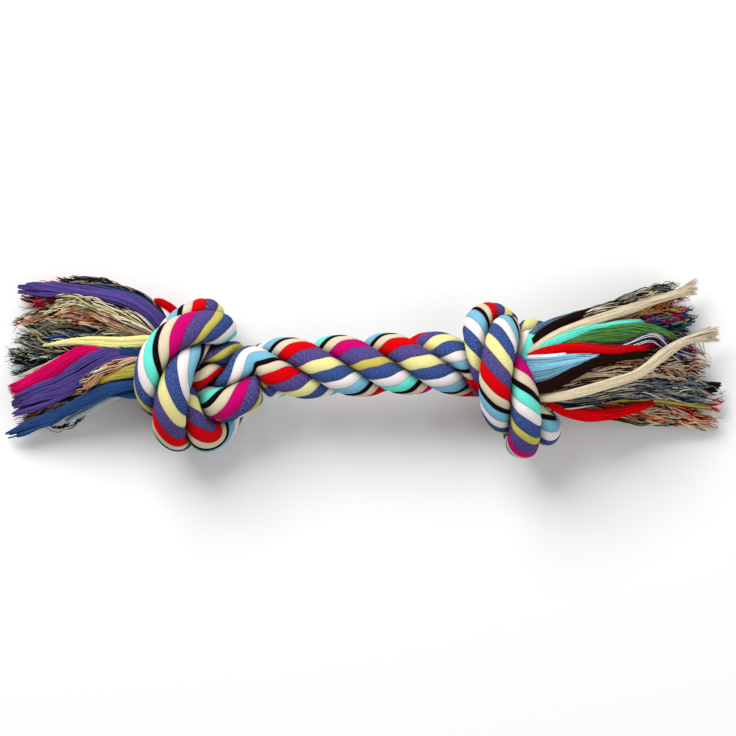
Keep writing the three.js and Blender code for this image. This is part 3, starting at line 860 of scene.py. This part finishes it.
def cotton_sliver_material():
    """Carded cotton sliver: matt, with fine fibres along it and paler ones spun into dark colours."""
    material, tree = new_material("carded_cotton_sliver")
    cotton = add_node(tree, "ShaderNodeAttribute", attribute_name="cotton")
    sliver_map = add_node(tree, "ShaderNodeUVMap", uv_map="sliver_map")
    along_fibres = add_node(tree, "ShaderNodeMapping", {
        "Vector": sliver_map.outputs["UV"], "Scale": (1 / FIBRE_WIDTH, 1 / FIBRE_LENGTH, 1)})
    fibres = add_node(tree, "ShaderNodeTexNoise", {
        "Vector": along_fibres.outputs["Vector"], "Scale": 1.0, "Detail": 3.0, "Roughness": 0.6},
        noise_dimensions="2D")
    pale = add_node(tree, "ShaderNodeMapRange", {
        "Value": fibres.outputs["Fac"], "From Min": 0.42, "From Max": 0.75, "To Min": 0.0, "To Max": 0.34})
    heather = add_node(tree, "ShaderNodeMath", {0: pale.outputs["Result"], 1: cotton.outputs["Alpha"]},
                       operation="MULTIPLY")
    mixed = add_node(tree, "ShaderNodeMix", {
        "Factor": heather.outputs["Value"], 6: cotton.outputs["Color"], 7: (*linear(PALE_FIBRE), 1)},
        data_type="RGBA")
    tone = add_node(tree, "ShaderNodeMapRange", {
        "Value": fibres.outputs["Fac"], "From Min": 0.3, "From Max": 0.7, "To Min": 0.86, "To Max": 1.08})
    toned = add_node(tree, "ShaderNodeVectorMath", {
        0: mixed.outputs[2], "Scale": tone.outputs["Result"]}, operation="SCALE")
    bump = add_node(tree, "ShaderNodeBump", {
        "Strength": 0.35, "Distance": FIBRE_DEPTH, "Height": fibres.outputs["Fac"]})
    return cotton_surface(material, tree, toned.outputs["Vector"], bump.outputs["Normal"])


def cotton_yarn_material():
    """Loose cotton yarn: matt and soft, a little uneven in tone."""
    material, tree = new_material("loose_cotton_yarn")
    cotton = add_node(tree, "ShaderNodeAttribute", attribute_name="cotton")
    place = add_node(tree, "ShaderNodeTexCoord")
    patches = add_node(tree, "ShaderNodeTexNoise", {
        "Vector": place.outputs["Object"], "Scale": 1 / PATCH_SIZE, "Detail": 2.0})
    tone = add_node(tree, "ShaderNodeMapRange", {
        "Value": patches.outputs["Fac"], "From Min": 0.3, "From Max": 0.7, "To Min": 0.94, "To Max": 1.05})
    toned = add_node(tree, "ShaderNodeVectorMath", {
        0: cotton.outputs["Color"], "Scale": tone.outputs["Result"]}, operation="SCALE")
    return cotton_surface(material, tree, toned.outputs["Vector"])


def cotton_surface(material, tree, colour, normal=None):
    """Ends a cotton material: no gloss, and a soft sheen from standing fibres."""
    inputs = {"Base Color": colour, "Roughness": 0.95, "Specular IOR Level": 0.02,
              "Sheen Weight": 0.01, "Sheen Roughness": 0.6}
    if normal:
        inputs["Normal"] = normal
    surface = add_node(tree, "ShaderNodeBsdfPrincipled", inputs)
    add_node(tree, "ShaderNodeOutputMaterial", {"Surface": surface.outputs["BSDF"]})
    return material


def floor_material():
    """Matt white studio board."""
    material, tree = new_material("white_board")
    surface = add_node(tree, "ShaderNodeBsdfPrincipled", {
        "Base Color": (*linear("f6f6f6"), 1), "Roughness": 0.9, "Specular IOR Level": 0.1})
    add_node(tree, "ShaderNodeOutputMaterial", {"Surface": surface.outputs["BSDF"]})
    return material


# Operators

# The view is centred on this place at the rope's height
VIEW_CENTRE = (2.3 * MM, 0, 40 * MM)
FLOOR_SIZE = 4
# Softboxes: name, place, width and watts
SOFTBOXES = [
    ("key_softbox", (-0.5, 0.9, 1.2), 0.9, 26),
    ("fill_softbox", (0.9, -0.3, 1.2), 1.2, 7),
]
# Even light from all round
ROOM_LIGHT = 0.36


class ROPETOY_OT_stage(bpy.types.Operator):
    """Set the camera straight above the toy, a white floor and soft studio light"""
    bl_idname = "rope_toy.stage"
    bl_label = "Stage"

    def execute(self, context):
        sizes = context.scene.rope_toy_sizes
        camera = bpy.data.objects.new("camera", bpy.data.cameras.new("camera"))
        context.scene.collection.objects.link(camera)
        camera.data.lens = sizes.lens
        distance = sizes.view_width * sizes.lens / camera.data.sensor_width
        x, y, z = VIEW_CENTRE
        camera.location = (x, y, z + distance)
        context.scene.camera = camera
        bpy.ops.mesh.primitive_plane_add(size=FLOOR_SIZE)
        floor = context.object
        floor.name = "floor"
        floor.data.materials.append(floor_material())
        for name, place, width, watts in SOFTBOXES:
            self.add_softbox(context, name, place, width, watts * sizes.light)
        world = bpy.data.worlds.new("studio")
        world.use_nodes = True
        background = world.node_tree.nodes["Background"]
        background.inputs["Color"].default_value = (1, 1, 1, 1)
        background.inputs["Strength"].default_value = ROOM_LIGHT * sizes.light
        context.scene.world = world
        context.scene.view_settings.view_transform = "Standard"
        return {"FINISHED"}

    def add_softbox(self, context, name, place, width, watts):
        """Square light that faces the toy."""
        light = bpy.data.lights.new(name, "AREA")
        light.energy = watts
        light.size = width
        lamp = bpy.data.objects.new(name, light)
        context.scene.collection.objects.link(lamp)
        lamp.location = place
        aim = -lamp.location.normalized()
        lamp.rotation_euler = aim.to_track_quat("-Z", "Y").to_euler()


class ROPETOY_OT_strands(bpy.types.Operator):
    """Lay the three striped strands through both knots"""
    bl_idname = "rope_toy.strands"
    bl_label = "Strands"

    def execute(self, context):
        height = context.scene.rope_toy_sizes.sliver_height
        rope = make_rope()
        material = cotton_sliver_material()
        for number, (name, slivers, passed, tied) in enumerate(STRANDS):
            strand = make_strand(rope, number, slivers, passed, tied, height)
            piece = strand_piece(name, strand, palette_of([colour for colour, _ in slivers]))
            piece.data.materials.append(material)
            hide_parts(f"{name}_left", f"{name}_right")
            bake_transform(piece)
        return {"FINISHED"}


def yarn_diameters(sizes):
    """Thickness of one yarn for each way it is spun."""
    return {
        CARDED: sizes.carded_diameter, COMBED: sizes.carded_diameter, PLIED: sizes.plied_diameter,
        LOOSE: sizes.loose_diameter, STRAY: sizes.thread_diameter,
    }


def follow_tassel(piece):
    """Bakes the piece's transform into its mesh."""
    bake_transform(piece)


class ROPETOY_OT_tassel(bpy.types.Operator):
    """Comb out the loose ends of one tassel"""
    bl_idname = "rope_toy.tassel"
    bl_label = "Tassel"

    side: side_property()

    def execute(self, context):
        tassel = TASSELS[self.side]
        diameters = yarn_diameters(context.scene.rope_toy_sizes)
        material = cotton_yarn_material()
        rng = np.random.default_rng(tassel.seed)
        for name, locks in tassel.locks.items():
            node = f"{tassel.body}_{name}"
            piece = yarn_piece(f"{node}_yarns", locks, diameters, rng)
            piece.data.materials.append(material)
            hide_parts(node)
            follow_tassel(piece)
        return {"FINISHED"}


class ROPETOY_OT_stray_threads(bpy.types.Operator):
    """Add the single threads that stand out of one tassel"""
    bl_idname = "rope_toy.stray_threads"
    bl_label = "Stray threads"

    side: side_property()

    def execute(self, context):
        sizes = context.scene.rope_toy_sizes
        tassel = TASSELS[self.side]
        rng = np.random.default_rng(STRAY_SEED + tassel.seed)
        cores = [lock for locks in tassel.locks.values() for lock in locks if lock.spin == LOOSE]
        picks = rng.integers(len(cores), size=sizes.stray_threads)
        strays = [cores[pick]._replace(spin=STRAY, yarns=1) for pick in picks]
        piece = yarn_piece(f"{self.side}_stray_threads", strays, yarn_diameters(sizes), rng)
        piece.data.materials.append(bpy.data.materials["loose_cotton_yarn"])
        follow_tassel(piece)
        return {"FINISHED"}


class ROPETOY_PT_panel(bpy.types.Panel):
    """Builds the toy step by step"""
    bl_idname = "ROPETOY_PT_panel"
    bl_label = "Rope Dog Toy"
    bl_space_type = "VIEW_3D"
    bl_region_type = "UI"
    bl_category = "Rope Toy"

    def draw(self, context):
        layout = self.layout
        for group in (context.scene.rope_toy_sizes, context.scene.rope_toy_colours):
            for name in group.bl_rna.properties.keys():
                if name not in {"rna_type", "name"}:
                    layout.prop(group, name)
        layout.operator(ROPETOY_OT_stage.bl_idname)
        layout.operator(ROPETOY_OT_strands.bl_idname)
        for side in TASSELS:
            for operator in (ROPETOY_OT_tassel, ROPETOY_OT_stray_threads):
                label = f"{side.title()} {operator.bl_label.lower()}"
                layout.operator(operator.bl_idname, text=label).side = side


CLASSES = [
    RopeToyColours, RopeToySizes, ROPETOY_OT_stage, ROPETOY_OT_strands, ROPETOY_OT_tassel,
    ROPETOY_OT_stray_threads, ROPETOY_PT_panel,
]


def register():
    for cls in CLASSES:
        bpy.utils.register_class(cls)
    bpy.types.Scene.rope_toy_colours = PointerProperty(type=RopeToyColours)
    bpy.types.Scene.rope_toy_sizes = PointerProperty(type=RopeToySizes)


def unregister():
    del bpy.types.Scene.rope_toy_sizes
    del bpy.types.Scene.rope_toy_colours
    for cls in reversed(CLASSES):
        bpy.utils.unregister_class(cls)


def main():
    register()
    bpy.ops.rope_toy.stage()
    bpy.ops.rope_toy.strands()
    for side in TASSELS:
        bpy.ops.rope_toy.tassel(side=side)
        bpy.ops.rope_toy.stray_threads(side=side)


if __name__ == "__main__":
    main()
